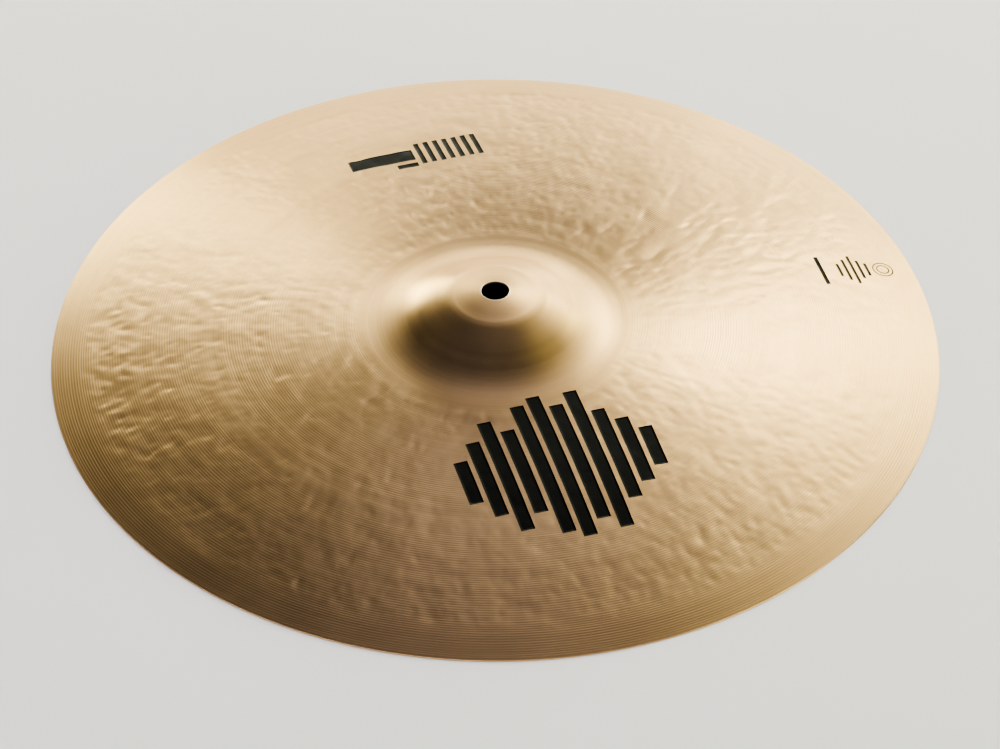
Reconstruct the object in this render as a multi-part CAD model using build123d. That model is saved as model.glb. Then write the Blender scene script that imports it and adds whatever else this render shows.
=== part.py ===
from build123d import *
import math
import os

# A 16 inch thin crash cymbal: one hammered and lathed bronze disc, with marks screen printed on its top.
# Millimetres. The Z axis is the disc's own axis, and z = 0 is the plane that its rim stands on.

# The disc
disc_diameter = 406.4
rim_thickness = 0.72
rim_round = 0.15
bow_height = 20.5
bow_power = 2.15

# The bell, a chain of tangent arcs: each ends at this radius, at this slope in degrees
bell_diameter = 115.0
bell_thickness = 1.05
crown_radius = 23.5
crown_slope = 21.0
shoulder_radius = 35.0
shoulder_slope = 33.5
flare_radius = 37.6

# The hole for the stand's spindle and its sleeve
hole_diameter = 12.7
hole_edge_break = 0.15

# The ink
ink_thickness = 0.05
print_turn = 17.0

# Front mark: a row of upright bars, its middle this far out from the bell's foot
front_from_bell = 42.5
front_bar_width = 6.4
front_bar_gap = 2.2
front_bar_lengths = [26, 46, 68, 52, 80, 88, 72, 86, 56, 40, 24]

# Back mark: one solid bar, a row of slim bars and a small bar, its middle this far in from the rim
back_from_rim = 71.2
back_block = (31.0, 9.0)
back_slim_bar = (2.4, 18.0)
back_slim_count = 7
back_slim_gap = 2.2
back_small_bar = (10.0, 3.2)
back_gap = 2.6

# Edge mark: a double ring and a ladder of cross bars, then one dark bar, each placed from the one before
ring_from_rim = 15.0
ring_diameters = (10.0, 6.2)
ring_line = 0.55
ladder_from_ring = 7.7
ladder_step = 3.4
ladder_bar_lengths = [9.0, 13.0, 20.0, 15.0, 9.0]
ladder_bar_width = 1.3
dark_bar = (1.9, 20.0)
dark_bar_from_ladder = 8.9

disc_radius = disc_diameter / 2
bell_radius = bell_diameter / 2
hole_radius = hole_diameter / 2
rim_radius = disc_radius - rim_round
bow_span = rim_radius - bell_radius
rim_slope = math.atan(bow_height * bow_power / bow_span)
rim_face = rim_thickness / math.cos(rim_slope)
bow_curve_points = 13
front_centre = bell_radius + front_from_bell
back_centre = disc_radius - back_from_rim
ring_centre = disc_radius - ring_from_rim
ladder_start = ring_centre - ladder_from_ring
dark_bar_centre = ladder_start - ladder_step * (len(ladder_bar_lengths) - 1) - dark_bar_from_ladder

bell_stations = [
    (0.0, 0.0),
    (crown_radius, math.radians(crown_slope)),
    (shoulder_radius, math.radians(shoulder_slope)),
    (flare_radius, math.radians(shoulder_slope)),
    (bell_radius, 0.0),
]


def slope_at(radius):
    """Downward slope of the top surface, in radians."""
    if radius >= bell_radius:
        share = (radius - bell_radius) / bow_span
        return math.atan(bow_height * bow_power / bow_span * share ** (bow_power - 1))
    for (start, start_slope), (end, end_slope) in zip(bell_stations, bell_stations[1:]):
        if radius <= end:
            share = (radius - start) / (end - start)
            return math.asin(math.sin(start_slope) * (1 - share) + math.sin(end_slope) * share)


def height_at(radius):
    """Height of the top surface. An arc drops by its width times the tangent of its mean slope."""
    if radius >= bell_radius:
        share = (radius - bell_radius) / bow_span
        return rim_face + bow_height * (1 - share**bow_power)
    height = rim_face + bow_height
    for (start, start_slope), (end, end_slope) in zip(bell_stations, bell_stations[1:]):
        if end > radius:
            first = max(start, radius)
            height += (end - first) * math.tan((slope_at(first) + end_slope) / 2)
    return height


def bell_point(radius, depth):
    """The point this deep under the bell's top surface, measured square to it."""
    slope = slope_at(radius)
    return (radius - depth * math.sin(slope), height_at(radius) - depth * math.cos(slope))


def bell_curve(first_radius, depth):
    """The bell's outline from the hole to its foot, this deep under the top surface."""
    radii = [first_radius] + [station[0] for station in bell_stations[1:]]
    curve = Curve()
    for start, end in zip(radii, radii[1:]):
        points = [bell_point(radius, depth) for radius in (start, (start + end) / 2, end)]
        if start == shoulder_radius:
            curve += Line(points[0], points[2])
        else:
            curve += ThreePointArc(*points)
    return curve


def thickness_at(radius):
    """The bow thins evenly from the bell's foot to the rim."""
    return bell_thickness + (rim_thickness - bell_thickness) * (radius - bell_radius) / bow_span


def bow_curve(lift):
    """The bow's outline from the bell's foot to the rim, moved off the top surface by lift(radius)."""
    points = []
    for step in range(bow_curve_points):
        radius = bell_radius + bow_span * step / (bow_curve_points - 1)
        points.append((radius, height_at(radius) + lift(radius) / math.cos(slope_at(radius))))
    return Spline(*points)


def revolved(outline):
    """The outline, drawn as radius and height, turned about the disc's axis."""
    return revolve(Plane.XZ * make_face(outline), Axis.Z)


def cymbal():
    """The bronze disc: bell, bow, round rim edge and spindle hole."""
    crown_curve = crown_radius / math.sin(math.radians(crown_slope))
    top = bell_curve(hole_radius + hole_edge_break, 0) + bow_curve(lambda radius: 0)
    under_start = (hole_radius + hole_edge_break) * crown_curve / (crown_curve - bell_thickness)
    under = bell_curve(under_start, bell_thickness) + bow_curve(lambda radius: -thickness_at(radius))
    top_break = bell_point(hole_radius + hole_edge_break, 0)
    under_break = bell_point(under_start, bell_thickness)
    wall_top = (hole_radius, top_break[1] - hole_edge_break)
    wall_foot = (hole_radius, under_break[1] + hole_edge_break)
    hole = Line(top_break, wall_top) + Line(wall_top, wall_foot) + Line(wall_foot, under_break)
    rim = ThreePointArc((rim_radius, rim_face), (disc_radius, rim_face / 2), (rim_radius, 0))
    return revolved(top + rim + under + hole)


def ink_layer():
    """A film of ink all over the bow, which each mark is cut from."""
    film_top = bow_curve(lambda radius: ink_thickness)
    ends = Line(film_top @ 0, (bell_radius, height_at(bell_radius)))
    ends += Line(film_top @ 1, (rim_radius, rim_face))
    return revolved(bow_curve(lambda radius: 0) + film_top + ends)


def printed(mark):
    """The film where a flat mark, drawn as seen from above, falls on the bow."""
    tall = height_at(bell_radius) + 2 * ink_thickness
    solids = (ink_layer() & extrude(mark, tall)).solids()
    return Rot(0, 0, print_turn) * Compound(solids)


def front_print():
    """Upright bars in a row, like a sound wave, in front of the bell."""
    pitch = front_bar_width + front_bar_gap
    first = -pitch * (len(front_bar_lengths) - 1) / 2
    mark = Sketch()
    for place, length in enumerate(front_bar_lengths):
        mark += Pos(first + pitch * place, -front_centre) * Rectangle(front_bar_width, length)
    return printed(mark)


def back_print():
    """A solid bar, a row of slim bars beside it and a small bar under it, behind the bell."""
    width, depth = back_block
    slim_width, slim_depth = back_slim_bar
    small_width, small_depth = back_small_bar
    pitch = slim_width + back_slim_gap
    first = back_slim_gap + slim_width / 2
    mark = Pos(-width / 2, back_centre) * Rectangle(width, depth)
    for place in range(back_slim_count):
        mark += Pos(first + pitch * place, back_centre) * Rectangle(slim_width, slim_depth)
    small_row = back_centre - depth / 2 - back_gap - small_depth / 2
    mark += Pos(-small_width / 2, small_row) * Rectangle(small_width, small_depth)
    return printed(mark)


def edge_print():
    """A double ring near the rim and a ladder of cross bars behind it."""
    mark = Sketch()
    for diameter in ring_diameters:
        ring = Circle(diameter / 2) - Circle(diameter / 2 - ring_line)
        mark += Pos(ring_centre, 0) * ring
    for place, length in enumerate(ladder_bar_lengths):
        mark += Pos(ladder_start - ladder_step * place, 0) * Rectangle(ladder_bar_width, length)
    return printed(mark)


def edge_bar():
    """The dark bar at the inner end of the edge mark."""
    return printed(Pos(dark_bar_centre, 0) * Rectangle(*dark_bar))


nodes = {
    "cymbal": cymbal,
    "front_print": front_print,
    "back_print": back_print,
    "edge_print": edge_print,
    "edge_bar": edge_bar,
}

os.makedirs("parts", exist_ok=True)
for name, make in nodes.items():
    export_step(make(), f"parts/{name}.step")
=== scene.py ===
import math

import bpy
import numpy as np
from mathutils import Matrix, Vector


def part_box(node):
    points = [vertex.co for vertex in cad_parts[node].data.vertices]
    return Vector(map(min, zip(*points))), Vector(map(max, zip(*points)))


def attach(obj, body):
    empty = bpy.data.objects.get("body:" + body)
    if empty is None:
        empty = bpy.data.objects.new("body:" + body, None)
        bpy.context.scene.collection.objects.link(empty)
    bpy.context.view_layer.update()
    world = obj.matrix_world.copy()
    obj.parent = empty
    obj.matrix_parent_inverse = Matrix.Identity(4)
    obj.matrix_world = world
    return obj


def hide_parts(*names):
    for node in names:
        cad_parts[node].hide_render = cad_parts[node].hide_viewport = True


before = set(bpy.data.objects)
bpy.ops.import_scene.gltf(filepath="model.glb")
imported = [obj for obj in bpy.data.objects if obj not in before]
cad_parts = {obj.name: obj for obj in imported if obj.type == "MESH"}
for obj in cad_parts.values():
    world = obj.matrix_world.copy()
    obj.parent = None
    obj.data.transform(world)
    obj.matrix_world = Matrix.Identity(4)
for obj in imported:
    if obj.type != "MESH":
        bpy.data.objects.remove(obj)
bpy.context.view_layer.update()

# ---------------------------------------------------------------- sizes, in metres
MM = 0.001

# The disc's outline, as the CAD has it
DISC_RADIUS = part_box("cymbal")[1].x
RIM_ROUND = 0.15 * MM
RIM_THICKNESS = 0.72 * MM
BOW_HEIGHT = 20.5 * MM
BOW_POWER = 2.15
BELL_RADIUS = 57.5 * MM
BELL_THICKNESS = 1.05 * MM
HOLE_RADIUS = 6.35 * MM
HOLE_EDGE_BREAK = 0.15 * MM
CROWN_RADIUS = 23.5 * MM
CROWN_SLOPE = math.radians(21.0)
SHOULDER_RADIUS = 35.0 * MM
SHOULDER_SLOPE = math.radians(33.5)
FLARE_RADIUS = 37.6 * MM
BELL_RADII = np.array([0.0, CROWN_RADIUS, SHOULDER_RADIUS, FLARE_RADIUS, BELL_RADIUS])
BELL_SLOPES = np.array([0.0, CROWN_SLOPE, SHOULDER_SLOPE, SHOULDER_SLOPE, 0.0])

RIM_RADIUS = DISC_RADIUS - RIM_ROUND
BOW_SPAN = RIM_RADIUS - BELL_RADIUS
RIM_FACE = RIM_THICKNESS / math.cos(math.atan(BOW_HEIGHT * BOW_POWER / BOW_SPAN))

# Marks left by the lathe
GROOVE_PITCH = 1.19 * MM
GROOVE_DEPTH = 0.027 * MM

# Marks left by the hammer. The shares say how strong they are by the turn round the disc, in degrees.
HAMMERED_FROM = 59 * MM
HAMMERED_TO = 188 * MM
BLOWS = [
    # spacing, depth, narrowest, widest, longest for its width
    (4.0 * MM, 0.072 * MM, 0.95 * MM, 1.6 * MM, 1.7),
    (9.5 * MM, 0.085 * MM, 2.4 * MM, 4.2 * MM, 1.2),
    (26 * MM, 0.11 * MM, 6 * MM, 9 * MM, 1.3),
]
HAMMER_TURNS = [0, 30, 60, 90, 120, 135, 150, 165, 180, 210, 240, 270, 300, 330, 360]
INNER_SHARES = [0.5, 1.0, 1.5, 1.6, 2.2, 1.2, 0.6, 0.8, 1.2, 1.4, 0.9, 0.9, 0.7, 0.6, 0.5]
OUTER_SHARES = [0.7, 1.4, 1.2, 2.2, 2.4, 1.2, 0.6, 0.8, 1.2, 1.5, 1.0, 0.9, 0.75, 0.7, 0.7]
HAMMER_SEED = 23
GOLDEN_TURN = math.pi * (3 - math.sqrt(5))

# The mesh
SECTORS = 1080
BELL_RING_STEP = 0.85 * MM
BOW_RING_STEP = 0.95 * MM
UNDERSIDE_RING_STEP = 2.2 * MM
BESIDE_EDGE = 0.06 * MM
EDGE_BREAK_STEP = 0.04 * MM
UNDERSIDE_SHARE = 0.6

# The ink
INK_LIFT = 0.045 * MM
INK_CELL = 1.0 * MM
INK_EDGE_SHARE = 0.35
INK_SUNK_SHARE = 0.4
PRINT_TURN = math.radians(17.0)


# ---------------------------------------------------------------- the outline
def slope_at(radius):
    """Downward slope of the smooth top surface, in radians."""
    share = np.clip((radius - BELL_RADIUS) / BOW_SPAN, 0, None)
    bow = np.arctan(BOW_HEIGHT * BOW_POWER / BOW_SPAN * share ** (BOW_POWER - 1))
    bell = np.arcsin(np.interp(radius, BELL_RADII, np.sin(BELL_SLOPES)))
    return np.where(radius >= BELL_RADIUS, bow, bell)


def height_at(radius):
    """Height of the smooth top surface: the bow's power curve, and the bell's chain of arcs."""
    share = np.clip((radius - BELL_RADIUS) / BOW_SPAN, 0, None)
    height = RIM_FACE + BOW_HEIGHT * (1 - share**BOW_POWER)
    for start, end, end_slope in zip(BELL_RADII, BELL_RADII[1:], BELL_SLOPES[1:]):
        first = np.clip(radius, start, end)
        height = height + (end - first) * np.tan((slope_at(first) + end_slope) / 2)
    return height


def thickness_at(radius):
    """Metal thickness, square to the surface."""
    share = np.clip((radius - BELL_RADIUS) / BOW_SPAN, 0, 1)
    return BELL_THICKNESS + (RIM_THICKNESS - BELL_THICKNESS) * share


def smooth_step(value, low, high):
    share = np.clip((value - low) / (high - low), 0, 1)
    return share * share * (3 - 2 * share)


# ---------------------------------------------------------------- hammering
def sector_turns(sectors):
    return np.arange(sectors) * 2 * math.pi / sectors


def hammer_map(radii, sectors):
    """How far the hammer moved the top surface, on a polar grid: small pits, swells and wide dents."""
    random = np.random.default_rng(HAMMER_SEED)
    turns = sector_turns(sectors)
    relief = np.zeros((len(radii), sectors))

    def strike(spacing, depth, narrow, wide, stretch):
        """Spreads blows as a sunflower spreads its seeds, each a little out of place."""
        area = math.pi * (HAMMERED_TO**2 - HAMMERED_FROM**2)
        count = int(area / spacing**2)
        for blow in range(count):
            radius = math.sqrt(HAMMERED_FROM**2 + area / math.pi * (blow + 0.5) / count)
            radius += random.normal(0, 0.35) * spacing
            turn = (blow * GOLDEN_TURN + random.normal(0, 0.35) * spacing / radius) % (2 * math.pi)
            width = random.uniform(narrow, wide)
            length = width * random.uniform(1.0, stretch)
            lean = random.normal(0, 0.35)
            sink = depth * random.uniform(0.25, 1.0) * (1 if random.random() < 0.85 else -0.5)
            reach = 3 * length
            rows = np.flatnonzero(np.abs(radii - radius) < reach)
            if len(rows) == 0:
                continue
            half = int(reach / max(radius - reach, BELL_RADIUS / 2) / (2 * math.pi) * sectors) + 1
            middle = int(turn / (2 * math.pi) * sectors)
            columns = (np.arange(middle - half, middle + half + 1)) % sectors
            across = radius * (np.mod(turns[columns] - turn + math.pi, 2 * math.pi) - math.pi)
            along = (radii[rows] - radius)[:, None]
            u = across * math.cos(lean) + along * math.sin(lean)
            v = along * math.cos(lean) - across * math.sin(lean)
            dip = sink * np.exp(-0.5 * ((u / width) ** 2 + (v / length) ** 2))
            relief[rows[0] : rows[-1] + 1, columns] -= dip

    for blows in BLOWS:
        strike(*blows)
    return relief * hammer_share(radii, turns)


def hammer_share(radii, turns):
    """How strong the hammering is from place to place on the polar grid."""
    inner = smooth_step(radii, HAMMERED_FROM, HAMMERED_FROM + 6 * MM)
    outer = 1 - smooth_step(radii, HAMMERED_TO - 4 * MM, HAMMERED_TO + 4 * MM)
    heavier = 1 + 0.35 * smooth_step(radii, 155 * MM, 180 * MM)
    inner_share = np.interp(np.degrees(turns), HAMMER_TURNS, INNER_SHARES)[None, :]
    outer_share = np.interp(np.degrees(turns), HAMMER_TURNS, OUTER_SHARES)[None, :]
    blend = smooth_step(radii, 105 * MM, 130 * MM)[:, None]
    share = inner_share * (1 - blend) + outer_share * blend
    return (inner * outer * heavier)[:, None] * share


def ring_relief(radii):
    """What the lathe left that goes all the way round: the ring at the bell's foot and faint steps."""
    foot = 0.02 * MM * np.exp(-(((radii - 55.3 * MM) / (1.2 * MM)) ** 2))
    foot -= 0.012 * MM * np.exp(-(((radii - 57.6 * MM) / (0.55 * MM)) ** 2))
    crease = 0.40 * MM * np.exp(-(((radii - 20.5 * MM) / (3.2 * MM)) ** 2))
    step = 0.03 * MM * np.tanh((radii - 124.5 * MM) / (0.8 * MM))
    bands = 0.012 * MM * np.sin(radii / (1.7 * MM)) * (radii < BELL_RADIUS)
    return foot + crease + step + bands


# ---------------------------------------------------------------- the bronze disc
def even_radii(first, last, step):
    count = max(2, int(round((last - first) / step)) + 1)
    return np.linspace(first, last, count)


def top_radii():
    bell = even_radii(HOLE_RADIUS + HOLE_EDGE_BREAK, BELL_RADIUS, BELL_RING_STEP)
    bow = even_radii(BELL_RADIUS, RIM_RADIUS, BOW_RING_STEP)
    beside_edges = [bell[0] + BESIDE_EDGE, RIM_RADIUS - BESIDE_EDGE]
    return np.sort(np.concatenate([bell, bow[1:], beside_edges]))


TOP_RADII = top_radii()
HAMMERING = hammer_map(TOP_RADII, SECTORS)


def top_height(x, y):
    """Height of the finished top surface at any point, read between its rings and sectors."""
    radius = np.hypot(x, y)
    row = np.clip(np.interp(radius, TOP_RADII, np.arange(len(TOP_RADII))), 0, len(TOP_RADII) - 1.001)
    column = np.mod(np.arctan2(y, x) / (2 * math.pi) * SECTORS, SECTORS)
    row_0 = row.astype(int)
    column_0 = column.astype(int)
    down = row - row_0
    over = column - column_0
    column_1 = (column_0 + 1) % SECTORS
    column_0 = column_0 % SECTORS
    inner = HAMMERING[row_0, column_0] * (1 - over) + HAMMERING[row_0, column_1] * over
    outer = HAMMERING[row_0 + 1, column_0] * (1 - over) + HAMMERING[row_0 + 1, column_1] * over
    return height_at(radius) + ring_relief(radius) + inner * (1 - down) + outer * down


def outline_rings():
    """Every ring of the disc's skin, from the hole's top edge out to the rim, back and up the hole."""
    rings = []
    for index, radius in enumerate(TOP_RADII):
        height = height_at(radius) + ring_relief(radius)
        rings.append((radius, height + HAMMERING[index]))
    for angle in np.radians([60, 30, 0, -30, -60]):
        reach = RIM_RADIUS + RIM_ROUND * math.cos(angle)
        rings.append((reach, RIM_FACE / 2 * (1 + math.sin(angle)) + 0 * HAMMERING[-1]))
    bow = even_radii(BELL_RADIUS, RIM_RADIUS, UNDERSIDE_RING_STEP)[::-1]
    bell = even_radii(HOLE_RADIUS + HOLE_EDGE_BREAK, BELL_RADIUS, UNDERSIDE_RING_STEP / 2)[::-1]
    for radius in np.concatenate([bow, bell[1:]]):
        under = height_at(radius) - thickness_at(radius) / np.cos(slope_at(radius))
        index = np.interp(radius, TOP_RADII, np.arange(len(TOP_RADII)))
        relief = UNDERSIDE_SHARE * HAMMERING[int(round(float(index)))]
        rings.append((radius, under + relief))
    wall_foot = rings[-1][1][0] + HOLE_EDGE_BREAK
    wall_head = rings[0][1][0] - HOLE_EDGE_BREAK
    outside = HOLE_RADIUS + EDGE_BREAK_STEP
    rise = HOLE_EDGE_BREAK - EDGE_BREAK_STEP
    for radius, height in (
        (outside, wall_foot - rise),
        (HOLE_RADIUS, wall_foot),
        (HOLE_RADIUS, wall_head),
        (outside, wall_head + rise),
    ):
        rings.append((radius, height + 0 * HAMMERING[0]))
    return rings


def closed_skin(name, rings, sectors):
    """A closed mesh of quads: ring after ring, the last joined to the first."""
    turns = sector_turns(sectors)
    points = np.empty((len(rings), sectors, 3))
    for index, (radius, heights) in enumerate(rings):
        points[index, :, 0] = radius * np.cos(turns)
        points[index, :, 1] = radius * np.sin(turns)
        points[index, :, 2] = heights
    ring = np.arange(len(rings))[:, None] * sectors
    after = np.roll(ring, -1, axis=0)
    here = np.arange(sectors)[None, :]
    beside = (here + 1) % sectors
    faces = np.stack([ring + here, after + here, after + beside, ring + beside], axis=-1)
    return mesh_object(name, points.reshape(-1, 3), faces.reshape(-1, 4))


def mesh_object(name, points, faces):
    """A mesh object from arrays of points and of faces with the same number of corners."""
    mesh = bpy.data.meshes.new(name)
    corners = faces.shape[1]
    mesh.vertices.add(len(points))
    mesh.vertices.foreach_set("co", points.astype(np.float32).ravel())
    mesh.loops.add(faces.size)
    mesh.loops.foreach_set("vertex_index", faces.astype(np.int32).ravel())
    mesh.polygons.add(len(faces))
    mesh.polygons.foreach_set("loop_start", np.arange(0, faces.size, corners, dtype=np.int32))
    mesh.polygons.foreach_set("use_smooth", np.ones(len(faces), dtype=bool))
    mesh.update(calc_edges=True)
    mesh.validate()
    obj = bpy.data.objects.new(name, mesh)
    bpy.context.scene.collection.objects.link(obj)
    return obj


def paint_crown(disc):
    """Gives the faces of the bell's crown the second material."""
    mesh = disc.data
    middles = np.empty(len(mesh.polygons) * 3)
    mesh.polygons.foreach_get("center", middles)
    middles = middles.reshape(-1, 3)
    crown = np.hypot(middles[:, 0], middles[:, 1]) < CROWN_RADIUS
    mesh.polygons.foreach_set("material_index", crown.astype(np.int32))


# ---------------------------------------------------------------- printed marks
def turned(x, y):
    """A point of the print's own layout, turned to where it lies on the disc."""
    return (
        x * math.cos(PRINT_TURN) - y * math.sin(PRINT_TURN),
        x * math.sin(PRINT_TURN) + y * math.cos(PRINT_TURN),
    )


def film_patch(u_lines, v_lines, place, wrap=False):
    """A closed film over a grid: place(u, v) gives x and y, and the film follows the hammered top."""
    u, v = np.meshgrid(u_lines, v_lines, indexing="ij")
    x, y = turned(*place(u, v))
    ground = top_height(x, y)
    edge = np.zeros(u.shape, bool)
    edge[:, [0, -1]] = True
    if not wrap:
        edge[[0, -1], :] = True
    lift = np.where(edge, INK_EDGE_SHARE, 1.0) * INK_LIFT
    top = np.stack([x, y, ground + lift], -1).reshape(-1, 3)
    foot = np.stack([x, y, ground - INK_SUNK_SHARE * INK_LIFT], -1).reshape(-1, 3)
    rows, columns = u.shape
    index = np.arange(rows * columns).reshape(rows, columns)
    if wrap:
        index = np.vstack([index, index[:1]])
    a, b, c, d = index[:-1, :-1], index[1:, :-1], index[1:, 1:], index[:-1, 1:]
    quads = np.stack([a, b, c, d], -1).reshape(-1, 4)
    count = rows * columns
    faces = [quads, quads[:, ::-1] + count]
    borders = [index[:, 0][::-1], index[:, -1]]
    if not wrap:
        borders += [index[0, :], index[-1, :][::-1]]
    for border in borders:
        start, end = border[:-1], border[1:]
        faces.append(np.stack([end, start, start + count, end + count], -1))
    return np.vstack([top, foot]), np.vstack(faces)


def bar(x, y, width, length):
    """A straight bar of ink, its middle at x, y."""
    across = even_radii(x - width / 2, x + width / 2, INK_CELL)
    along = even_radii(y - length / 2, y + length / 2, INK_CELL)
    return film_patch(across, along, lambda u, v: (u, v))


def ring(x, y, diameter, line):
    """A ring of ink, its middle at x, y."""
    turns = np.linspace(0, 2 * math.pi, 73)[:-1]
    radii = np.linspace(diameter / 2 - line, diameter / 2, 3)
    return film_patch(
        turns, radii[::-1], lambda t, r: (x + r * np.cos(t), y + r * np.sin(t)), wrap=True
    )


def joined(name, patches):
    """One mesh object from several patches."""
    points, faces, count = [], [], 0
    for patch_points, patch_faces in patches:
        points.append(patch_points)
        faces.append(patch_faces + count)
        count += len(patch_points)
    return mesh_object(name, np.vstack(points), np.vstack(faces))


def front_bars():
    """Upright bars in a row, like a sound wave."""
    lengths = [26, 46, 68, 52, 80, 88, 72, 86, 56, 40, 24]
    width, gap = 6.4 * MM, 2.2 * MM
    pitch = width + gap
    first = -pitch * (len(lengths) - 1) / 2
    middle = -(BELL_RADIUS + 42.5 * MM)
    patches = []
    for place, length in enumerate(lengths):
        patches.append(bar(first + pitch * place, middle, width, length * MM))
    return joined("front_bars", patches)


def back_bars():
    """A solid bar, a row of slim bars beside it and a small bar under it."""
    middle = DISC_RADIUS - 71.2 * MM
    width, depth = 31.0 * MM, 9.0 * MM
    slim_width, slim_depth, slim_gap = 2.4 * MM, 18.0 * MM, 2.2 * MM
    slim_count = 7
    small_width, small_depth, small_gap = 10.0 * MM, 3.2 * MM, 2.6 * MM
    patches = [bar(-width / 2, middle, width, depth)]
    for place in range(slim_count):
        start = slim_gap + slim_width / 2 + (slim_width + slim_gap) * place
        patches.append(bar(start, middle, slim_width, slim_depth))
    small_row = middle - depth / 2 - small_gap - small_depth / 2
    patches.append(bar(-small_width / 2, small_row, small_width, small_depth))
    return joined("back_bars", patches)


RING_CENTRE = DISC_RADIUS - 15.0 * MM
LADDER_START = RING_CENTRE - 7.7 * MM
LADDER_STEP = 3.4 * MM
LADDER_BARS = [9.0, 13.0, 20.0, 15.0, 9.0]


def edge_marks():
    """A double ring near the rim and a ladder of cross bars behind it."""
    patches = [ring(RING_CENTRE, 0, diameter * MM, 0.55 * MM) for diameter in (10.0, 6.2)]
    for place, length in enumerate(LADDER_BARS):
        patches.append(bar(LADDER_START - LADDER_STEP * place, 0, 1.3 * MM, length * MM))
    return joined("edge_marks", patches)


def edge_dark_bar():
    """The dark bar at the inner end of the ladder."""
    middle = LADDER_START - LADDER_STEP * (len(LADDER_BARS) - 1) - 8.9 * MM
    return joined("edge_dark_bar", [bar(middle, 0, 1.9 * MM, 20.0 * MM)])


# ---------------------------------------------------------------- materials
BRONZE_DARK = (0.83, 0.555, 0.300, 1)
BRONZE_LIGHT = (0.93, 0.640, 0.350, 1)
# Pale cream for the painted highlight: a thin ring round the hole, painted as the hole's edge catching
# light
BRONZE_PAINTED_HIGHLIGHT = (1.0, 0.86, 0.62, 1)
BRONZE_ROUGHNESS = 0.35


class Nodes:
    """Short ways to add and link the nodes of one tree."""

    def __init__(self, tree):
        self.tree = tree

    def add(self, kind, **settings):
        node = self.tree.nodes.new(kind)
        for key, value in settings.items():
            setattr(node, key, value)
        return node

    def link(self, source, target):
        if isinstance(source, (int, float, tuple)):
            target.default_value = source
        else:
            self.tree.links.new(source, target)

    def maths(self, operation, *values):
        node = self.add("ShaderNodeMath", operation=operation)
        for value, socket in zip(values, node.inputs):
            self.link(value, socket)
        return node.outputs[0]

    def total(self, *weighted):
        """The sum of values, each multiplied by its weight."""
        parts = [self.maths("MULTIPLY", value, weight) for value, weight in weighted]
        result = parts[0]
        for part in parts[1:]:
            result = self.maths("ADD", result, part)
        return result

    def vector(self, operation, *values):
        node = self.add("ShaderNodeVectorMath", operation=operation)
        for value, socket in zip(values, node.inputs):
            self.link(value, socket)
        return node.outputs["Value" if operation in ("LENGTH", "DOT_PRODUCT") else "Vector"]

    def ramp(self, value, low, high, to_low=0.0, to_high=1.0):
        node = self.add("ShaderNodeMapRange", interpolation_type="SMOOTHSTEP")
        for source, socket in zip((value, low, high, to_low, to_high), node.inputs):
            self.link(source, socket)
        return node.outputs[0]

    def noise_1d(self, value, scale, detail=2.0):
        node = self.add("ShaderNodeTexNoise", noise_dimensions="1D")
        self.link(value, node.inputs["W"])
        node.inputs["Scale"].default_value = scale
        node.inputs["Detail"].default_value = detail
        return node.outputs["Fac"]

    def noise(self, place, scale, detail=3.0):
        node = self.add("ShaderNodeTexNoise")
        self.link(place, node.inputs["Vector"])
        node.inputs["Scale"].default_value = scale
        node.inputs["Detail"].default_value = detail
        return node.outputs["Fac"]

    def mix(self, share, first, second):
        node = self.add("ShaderNodeMix", data_type="RGBA")
        self.link(share, node.inputs["Factor"])
        self.link(first, node.inputs["A"])
        self.link(second, node.inputs["B"])
        return node.outputs["Result"]

    def bump(self, height, shader):
        """Relief as deep as the tone grooves."""
        node = self.add("ShaderNodeBump")
        node.inputs["Strength"].default_value = 1.0
        node.inputs["Distance"].default_value = GROOVE_DEPTH
        self.link(height, node.inputs["Height"])
        self.link(node.outputs["Normal"], shader.inputs["Normal"])


def new_material(name):
    material = bpy.data.materials.new(name)
    material.use_nodes = True
    nodes = Nodes(material.node_tree)
    shader = material.node_tree.nodes["Principled BSDF"]
    return material, nodes, shader


def disc_radius_of(nodes):
    """Distance from the disc's axis, and the place itself."""
    place = nodes.add("ShaderNodeTexCoord").outputs["Object"]
    flat = nodes.vector("MULTIPLY", place, (1.0, 1.0, 0.0))
    return nodes.vector("LENGTH", flat), place


def groove_wave(nodes, radius):
    """The tone grooves as a wave over the radius, with a slow drift in their spacing."""
    drift = nodes.maths("MULTIPLY", nodes.noise_1d(radius, 90.0), 0.9)
    turns = nodes.maths("ADD", nodes.maths("DIVIDE", radius, GROOVE_PITCH), drift)
    return nodes.maths("SINE", nodes.maths("MULTIPLY", turns, 2 * math.pi))


def groove_strength(nodes, radius):
    """Grooves are cut from the bell's foot outwards, weak at first and strongest near the rim."""
    starts = nodes.ramp(radius, BELL_RADIUS, 66 * MM, 0.0, 0.55)
    grows = nodes.ramp(radius, 90 * MM, 104 * MM, 0.0, 0.65)
    smooth_band = nodes.maths(
        "MULTIPLY",
        nodes.ramp(radius, 123 * MM, 127 * MM),
        nodes.ramp(radius, 136 * MM, 141 * MM, 1.0, 0.0),
    )
    rim = nodes.ramp(radius, 176 * MM, 192 * MM, 0.0, 0.40)
    total = nodes.maths("ADD", nodes.maths("ADD", starts, grows), rim)
    left = nodes.maths("SUBTRACT", 1.0, nodes.maths("MULTIPLY", smooth_band, 0.6))
    return nodes.maths("MULTIPLY", total, left)


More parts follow.
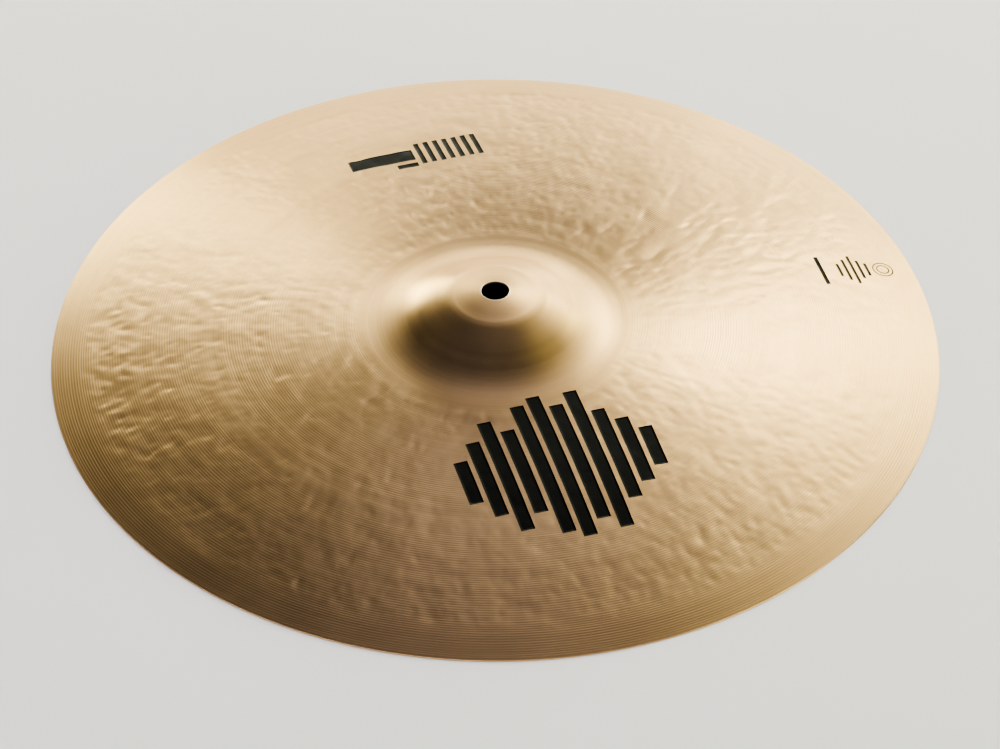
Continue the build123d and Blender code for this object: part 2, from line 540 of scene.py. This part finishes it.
def bronze(name, anisotropic, extra_roughness):
    """Lathed bronze: it reflects more widely across the grooves than along them."""
    material, nodes, shader = new_material(name)
    radius, place = disc_radius_of(nodes)
    wave = groove_wave(nodes, radius)
    grooves = nodes.maths("MULTIPLY", wave, groove_strength(nodes, radius))
    scratches = nodes.maths("SUBTRACT", nodes.noise_1d(radius, 700.0, 3.0), 0.5)
    bands = nodes.noise_1d(radius, 210.0, 3.0)
    patina = nodes.noise(place, 38.0, 4.0)
    fine = nodes.noise(place, 420.0, 3.0)

    tone = nodes.total((patina, 0.55), (bands, 0.45), (grooves, 0.11), (fine, 0.12))
    share = nodes.ramp(tone, 0.30, 0.85)
    colour = nodes.mix(share, BRONZE_DARK, BRONZE_LIGHT)
    # A thin ring round the hole is lightened towards a pale cream: a painted highlight for the hole's
    # edge catching light
    painted_hole_highlight = nodes.ramp(radius, HOLE_RADIUS + 0.45 * MM, HOLE_RADIUS + 0.95 * MM, 0.8, 0.0)
    nodes.link(nodes.mix(painted_hole_highlight, colour, BRONZE_PAINTED_HIGHLIGHT), shader.inputs["Base Color"])

    rough = nodes.total((bands, 0.05), (patina, 0.05))
    burnished = nodes.maths(
        "MULTIPLY",
        nodes.ramp(radius, 60 * MM, 68 * MM),
        nodes.ramp(radius, 100 * MM, 126 * MM, -0.025, 0.0),
    )
    rough = nodes.maths("ADD", rough, burnished)
    base = BRONZE_ROUGHNESS + extra_roughness
    nodes.link(nodes.maths("ADD", base, rough), shader.inputs["Roughness"])
    shader.inputs["Metallic"].default_value = 1.0
    shader.inputs["Anisotropic"].default_value = anisotropic
    shader.inputs["Anisotropic Rotation"].default_value = 0.25
    tangent = nodes.add("ShaderNodeTangent", direction_type="RADIAL", axis="Z")
    nodes.link(tangent.outputs["Tangent"], shader.inputs["Tangent"])

    nodes.bump(nodes.total((grooves, 0.5), (scratches, 1.0)), shader)
    return material


def ink(name, dark, light, roughness):
    """Screen-printed ink: it fills the grooves unevenly, so its colour and gloss vary a little."""
    material, nodes, shader = new_material(name)
    radius, place = disc_radius_of(nodes)
    wave = groove_wave(nodes, radius)
    cloud = nodes.noise(place, 300.0, 4.0)
    share = nodes.ramp(nodes.total((cloud, 1.0), (wave, 0.08)), 0.35, 0.75)
    nodes.link(nodes.mix(share, dark, light), shader.inputs["Base Color"])
    nodes.link(nodes.ramp(cloud, 0.3, 0.7, roughness, roughness + 0.12), shader.inputs["Roughness"])
    shader.inputs["Specular IOR Level"].default_value = 0.3
    nodes.bump(nodes.total((wave, 0.3), (cloud, 1.0)), shader)
    return material


def floor_material():
    material, nodes, shader = new_material("pale_floor")
    place = nodes.add("ShaderNodeTexCoord").outputs["Object"]
    cloud = nodes.noise(place, 3.0, 5.0)
    colour = nodes.mix(cloud, (0.75, 0.725, 0.735, 1), (0.81, 0.785, 0.795, 1))
    nodes.link(colour, shader.inputs["Base Color"])
    shader.inputs["Roughness"].default_value = 0.7
    shader.inputs["Specular IOR Level"].default_value = 0.2
    return material


# ---------------------------------------------------------------- stage, lights, camera
VIEW_ELEVATION = math.radians(40.79)
VIEW_DISTANCE = 2.797
LENS = 219.8
SENSOR = 36.0
RIM_ASIDE = 2.15 * MM
RIM_ABOVE = 9.35 * MM


def make_camera():
    """A long lens, aimed a little right of and below the rim's middle."""
    data = bpy.data.cameras.new("camera")
    data.lens = LENS
    data.sensor_width = SENSOR
    data.clip_end = 100
    camera = bpy.data.objects.new("camera", data)
    bpy.context.scene.collection.objects.link(camera)
    cosine, sine = math.cos(VIEW_ELEVATION), math.sin(VIEW_ELEVATION)
    rim_middle = Vector((0, 0, RIM_FACE))
    camera.location = rim_middle + VIEW_DISTANCE * Vector((0, -cosine, sine))
    target = rim_middle + Vector((RIM_ASIDE, -RIM_ABOVE * sine, -RIM_ABOVE * cosine))
    camera.rotation_mode = "QUATERNION"
    camera.rotation_quaternion = (target - camera.location).to_track_quat("-Z", "Y")
    bpy.context.scene.camera = camera


def direction(azimuth, elevation):
    """A unit vector. Azimuth 0 is +X and 90 is +Y, away from the camera."""
    azimuth, elevation = math.radians(azimuth), math.radians(elevation)
    return Vector(
        (
            math.cos(elevation) * math.cos(azimuth),
            math.cos(elevation) * math.sin(azimuth),
            math.sin(elevation),
        )
    )


LIGHT_DISTANCE = 3.0

# name, azimuth, elevation, width and height in degrees, radiance, colour
PANELS = [
    ("key", 71, 41, 7, 7, 25.0, (1.0, 1.02, 0.84)),
    ("key_foot", 63, 25.5, 24.5, 7, 5.4, (1.0, 1.03, 0.85)),
    ("far_left_spot", 104, 27.5, 7, 5, 16.3, (1.0, 1.0, 0.78)),
    ("far_strip", 88, 13, 24, 7, 6.5, (1.0, 1.02, 0.86)),
    ("far_left_strip", 117, 3, 18, 6, 17.0, (1.0, 1.03, 0.72)),
    ("far_card", 64, 3.5, 31, 7, 4.4, (1.0, 1.02, 0.83)),
    ("right_card", 36, 12.5, 23, 8.5, 6.3, (1.0, 1.05, 0.58)),
    ("high_right_card", 30, 25, 32, 30, 0.80, (1.0, 1.03, 0.74)),
    ("side_card", -26, 6, 33.5, 12, 6.0, (1.0, 1.04, 0.54)),
    ("top_right_card", 39, 52, 29.5, 23.5, 0.42, (1.0, 1.02, 0.80)),
    ("top_card", 88, 65, 20, 15, 0.58, (1.0, 1.0, 1.4)),
    ("front_left_strip", 236, 15.5, 72, 7, 2.7, (1.0, 1.04, 1.35)),
    ("left_spot", 131, 54, 8, 9, 0.15, (1.0, 1.0, 1.5)),
    ("left_fill", 111, 32, 8, 7, 2.8, (1.0, 1.02, 0.85)),
    ("upper_card", 86, 51, 16, 6, 0.40, (1.0, 1.02, 1.5)),
    ("overhead", 90, 84, 24, 12, 0.06, (1.0, 1.0, 1.1)),
    ("left_card", 184, 18, 26, 20, 0.4, (1.0, 1.0, 1.0)),
    ("front_fill", 285, 24, 70, 26, 0.45, (1.0, 0.98, 1.1)),
]


def panel(name, azimuth, elevation, wide, high, radiance, colour):
    """A soft rectangular light, facing the disc, that looks this bright from there."""
    light = bpy.data.lights.new(name, "AREA")
    light.shape = "RECTANGLE"
    light.size = 2 * LIGHT_DISTANCE * math.tan(math.radians(wide / 2))
    light.size_y = 2 * LIGHT_DISTANCE * math.tan(math.radians(high / 2))
    light.energy = radiance * math.pi * light.size * light.size_y
    light.color = colour
    obj = bpy.data.objects.new(name, light)
    bpy.context.scene.collection.objects.link(obj)
    toward = direction(azimuth, elevation)
    obj.location = toward * LIGHT_DISTANCE
    obj.rotation_mode = "QUATERNION"
    obj.rotation_quaternion = (-toward).to_track_quat("-Z", "Y")
    obj.visible_camera = False


def make_world(strength, colour, backdrop):
    """Dim light from all round. The camera sees a plain pale backdrop where the floor ends."""
    world = bpy.data.worlds.new("studio")
    world.use_nodes = True
    bpy.context.scene.world = world
    nodes = Nodes(world.node_tree)
    world.node_tree.nodes.clear()
    path = nodes.add("ShaderNodeLightPath")
    dim = nodes.add("ShaderNodeBackground")
    dim.inputs["Color"].default_value = (*colour, 1)
    dim.inputs["Strength"].default_value = strength
    pale = nodes.add("ShaderNodeBackground")
    pale.inputs["Color"].default_value = (*backdrop, 1)
    mix = nodes.add("ShaderNodeMixShader")
    nodes.link(path.outputs["Is Camera Ray"], mix.inputs[0])
    nodes.link(dim.outputs[0], mix.inputs[1])
    nodes.link(pale.outputs[0], mix.inputs[2])
    out = nodes.add("ShaderNodeOutputWorld")
    nodes.link(mix.outputs[0], out.inputs["Surface"])


def make_floor():
    """A square floor far larger than the view."""
    half = 20.0
    floor = mesh_object(
        "floor",
        np.array([[-half, -half, 0], [half, -half, 0], [half, half, 0], [-half, half, 0]]),
        np.array([[0, 1, 2, 3]]),
    )
    floor.data.materials.append(floor_material())
    return floor


def floor_light(floor, strength):
    """Light from overhead for the floor alone, as a paper sweep is lit, so that it stays pale."""
    light = bpy.data.lights.new("floor_light", "SUN")
    light.energy = strength
    light.angle = math.radians(60)
    obj = bpy.data.objects.new("floor_light", light)
    bpy.context.scene.collection.objects.link(obj)
    receivers = bpy.data.collections.new("lit_by_floor_light")
    receivers.objects.link(floor)
    obj.light_linking.receiver_collection = receivers


# ---------------------------------------------------------------- making it all
make_camera()
floor = make_floor()
floor_light(floor, 1.2)
make_world(0.018, (0.9, 1.0, 1.3), (0.62, 0.61, 0.60))
for row in PANELS:
    panel(*row)

black_ink = ink("black_ink", (0.006, 0.005, 0.005, 1), (0.016, 0.013, 0.012, 1), 0.42)
brown_ink = ink("brown_ink", (0.10, 0.060, 0.022, 1), (0.17, 0.11, 0.045, 1), 0.40)

disc = closed_skin("hammered_disc", outline_rings(), SECTORS)
disc.data.materials.append(bronze("hammered_bronze", 0.67, 0.0))
disc.data.materials.append(bronze("crown_bronze", 0.40, 0.05))
paint_crown(disc)
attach(disc, "root")
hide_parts("cymbal")

for make, node, material, slot in (
    (front_bars, "front_print", black_ink, "black_ink"),
    (back_bars, "back_print", black_ink, "black_ink"),
    (edge_marks, "edge_print", brown_ink, "brown_ink"),
    (edge_dark_bar, "edge_bar", black_ink, "black_ink"),
):
    mark = make()
    mark.data.materials.append(material)
    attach(mark, "root")
    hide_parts(node)

view_settings = bpy.context.scene.view_settings
view_settings.view_transform = "AgX"
view_settings.look = "AgX - Very High Contrast"
